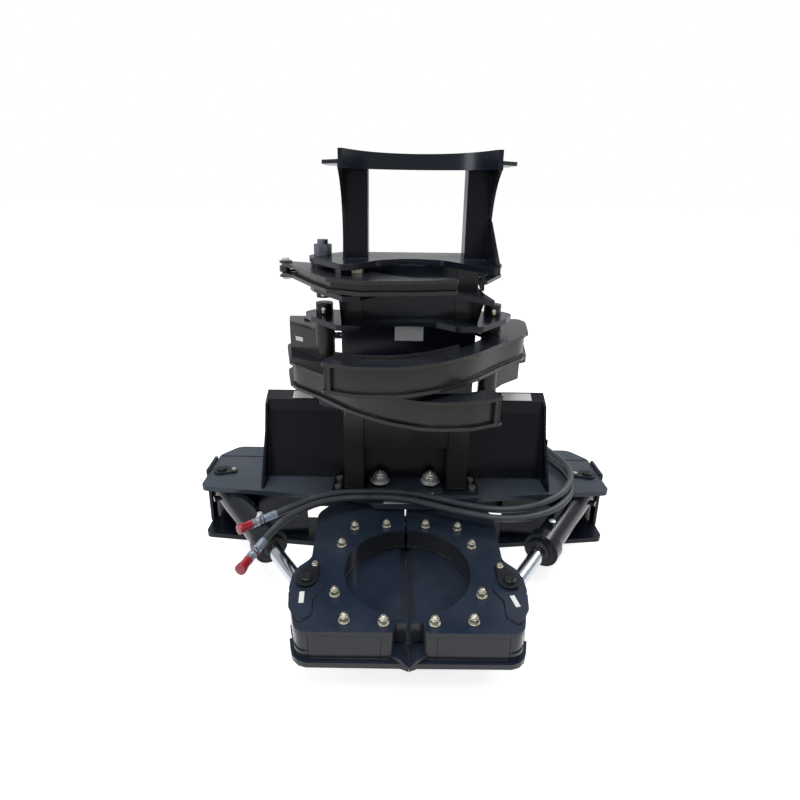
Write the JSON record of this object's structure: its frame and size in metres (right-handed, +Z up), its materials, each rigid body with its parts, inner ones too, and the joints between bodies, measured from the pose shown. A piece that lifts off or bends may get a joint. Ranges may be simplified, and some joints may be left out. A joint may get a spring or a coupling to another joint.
{
  "type": "grapple tree shear",
  "caption": "Skid steer attachment with a pair of hinged cutting jaws, a mast with folding grapple arms and cradles for the trunk, and hydraulic cylinders.",
  "frame": {"origin": "centre of the underside of the bottom frame plate, on the middle plane of the tool, 130 mm behind the jaw pivots", "axes": "+Z up, the cutting jaws point to -Y and the machine side is +Y, +X to the right seen from the tree"},
  "size_m": [1.668, 1.062, 1.498],
  "materials": {
    "black_paint": "satin",
    "yellow_zinc": "satin",
    "pin_steel": "satin",
    "chrome_rod": "polished",
    "hose_rubber": "matt",
    "coupler_steel": "satin",
    "red_cap": "gloss",
    "black_plastic": "matt"
  },
  "bodies": {
    "frame": {"frame_bottom_plate": "black_paint", "frame_top_plate": "black_paint", "frame_webs": "black_paint", "attach_plate": "black_paint", "jaw_pivot_pins": "pin_steel", "jaw_pivot_nuts": "yellow_zinc", "cylinder_base_pins": "pin_steel", "frame_bolts": "yellow_zinc", "mast_upright_left": "black_paint", "mast_upright_right": "black_paint", "mast_front_plate_lower": "black_paint", "mast_front_plate_upper": "black_paint", "mast_back_bracket": "black_paint", "cylinder_anchor_pins": "pin_steel", "grapple_plate_lower": "black_paint", "grapple_plate_upper": "black_paint", "trunk_cradle_lower": "black_paint", "trunk_cradle_upper": "black_paint", "grapple_pins": "pin_steel", "pin_collars": "black_paint", "upper_pin": "pin_steel", "top_side_plate_left": "black_paint", "top_side_plate_right": "black_paint", "top_saddle": "black_paint", "top_saddle_plate": "black_paint", "upper_cylinder_lug": "black_paint", "hose_upper": "hose_rubber", "hose_lower": "hose_rubber", "coupler_upper": "coupler_steel", "coupler_lower": "coupler_steel", "cap_upper": "red_cap", "cap_lower": "red_cap", "hose_bulkhead": "black_paint", "hose_tie": "black_plastic"},
    "left_jaw": {"left_jaw_body": "black_paint", "left_jaw_blade": "black_paint", "left_jaw_bolts": "yellow_zinc", "left_jaw_nuts": "yellow_zinc", "left_jaw_pin": "pin_steel"},
    "left_jaw_barrel": {"left_jaw_barrel": "black_paint"},
    "left_jaw_rod": {"left_jaw_rod": "chrome_rod"},
    "right_jaw": {"right_jaw_body": "black_paint", "right_jaw_blade": "black_paint", "right_jaw_bolts": "yellow_zinc", "right_jaw_nuts": "yellow_zinc", "right_jaw_pin": "pin_steel"},
    "right_jaw_barrel": {"right_jaw_barrel": "black_paint"},
    "right_jaw_rod": {"right_jaw_rod": "chrome_rod"},
    "left_arm": {"left_arm": "black_paint", "left_lever_pin": "pin_steel"},
    "left_grapple_barrel": {"left_grapple_barrel": "black_paint"},
    "left_grapple_rod": {"left_grapple_rod": "chrome_rod"},
    "right_arm": {"right_arm": "black_paint", "right_lever_pin": "pin_steel"},
    "right_grapple_barrel": {"right_grapple_barrel": "black_paint"},
    "right_grapple_rod": {"right_grapple_rod": "chrome_rod"},
    "upper_arm": {"upper_arm": "black_paint", "upper_arm_bolts": "yellow_zinc"},
    "upper_barrel": {"upper_barrel": "black_paint"},
    "upper_rod": {"upper_rod": "chrome_rod"}
  },
  "joints": [
    {"name": "left_jaw_pivot", "type": "hinge", "parent": "frame", "child": "left_jaw", "pos_m": [-0.102, -0.13, 0.16], "axis": [0, 0, -1], "range_deg": [0, 22]},
    {"name": "left_jaw_cylinder_swing", "type": "hinge", "parent": "frame", "child": "left_jaw_barrel", "pos_m": [-0.772, -0.045, 0.169], "axis": [0, 0, -1], "range_deg": [0, 7.9]},
    {"name": "left_jaw_rod_slide", "type": "slide", "parent": "left_jaw_barrel", "child": "left_jaw_rod", "axis": [-0.5927, 0.8054, 0], "range_m": [0, 0.2008]},
    {"name": "right_jaw_pivot", "type": "hinge", "parent": "frame", "child": "right_jaw", "pos_m": [0.102, -0.13, 0.16], "axis": [0, 0, 1], "range_deg": [0, 22]},
    {"name": "right_jaw_cylinder_swing", "type": "hinge", "parent": "frame", "child": "right_jaw_barrel", "pos_m": [0.772, -0.045, 0.169], "axis": [0, 0, 1], "range_deg": [0, 7.9]},
    {"name": "right_jaw_rod_slide", "type": "slide", "parent": "right_jaw_barrel", "child": "right_jaw_rod", "axis": [0.5927, 0.8054, 0], "range_m": [0, 0.2008]},
    {"name": "left_arm_pivot", "type": "hinge", "parent": "frame", "child": "left_arm", "pos_m": [-0.31, -0.1, 0.7705], "axis": [0, 0, -1], "range_deg": [0, 55]},
    {"name": "left_grapple_cylinder_swing", "type": "hinge", "parent": "frame", "child": "left_grapple_barrel", "pos_m": [0.12, 0.025, 0.825], "axis": [0, 0, -1], "range_deg": [0, 1.82]},
    {"name": "left_grapple_rod_slide", "type": "slide", "parent": "left_grapple_barrel", "child": "left_grapple_rod", "axis": [1, -0.0043, 0], "range_m": [0, 0.1389]},
    {"name": "right_arm_pivot", "type": "hinge", "parent": "frame", "child": "right_arm", "pos_m": [0.31, -0.1, 0.7705], "axis": [0, 0, 1], "range_deg": [0, 51]},
    {"name": "right_grapple_cylinder_swing", "type": "hinge", "parent": "frame", "child": "right_grapple_barrel", "pos_m": [-0.12, 0.025, 0.716], "axis": [0, 0, 1], "range_deg": [0, 1.21]},
    {"name": "right_grapple_rod_slide", "type": "slide", "parent": "right_grapple_barrel", "child": "right_grapple_rod", "axis": [-0.9999, -0.0149, 0], "range_m": [0, 0.1295]},
    {"name": "upper_arm_pivot", "type": "hinge", "parent": "frame", "child": "upper_arm", "pos_m": [-0.31, -0.1, 1.092], "axis": [0, 0, -1], "range_deg": [0, 40]},
    {"name": "upper_cylinder_swing", "type": "hinge", "parent": "frame", "child": "upper_barrel", "pos_m": [0.33, 0.01, 1.092], "axis": [0, 0, -1], "range_deg": [0, 6.2]},
    {"name": "upper_rod_slide", "type": "slide", "parent": "upper_barrel", "child": "upper_rod", "axis": [0.9997, 0.0252, 0], "range_m": [0, 0.0922]}
  ],
  "couplings": [
    {"joint": "left_jaw_cylinder_swing", "follows": "left_jaw_pivot", "ratio": 0.35619},
    {"joint": "left_jaw_rod_slide", "follows": "left_jaw_pivot", "m_per_rad": 0.52128},
    {"joint": "right_jaw_cylinder_swing", "follows": "right_jaw_pivot", "ratio": 0.35619},
    {"joint": "right_jaw_rod_slide", "follows": "right_jaw_pivot", "m_per_rad": 0.52128},
    {"joint": "left_grapple_cylinder_swing", "follows": "left_arm_pivot", "ratio": 0.03227},
    {"joint": "left_grapple_rod_slide", "follows": "left_arm_pivot", "m_per_rad": 0.14406},
    {"joint": "right_grapple_cylinder_swing", "follows": "right_arm_pivot", "ratio": 0.02284},
    {"joint": "right_grapple_rod_slide", "follows": "right_arm_pivot", "m_per_rad": 0.14478},
    {"joint": "upper_cylinder_swing", "follows": "upper_arm_pivot", "ratio": 0.15345},
    {"joint": "upper_rod_slide", "follows": "upper_arm_pivot", "m_per_rad": 0.13131}
  ]
}
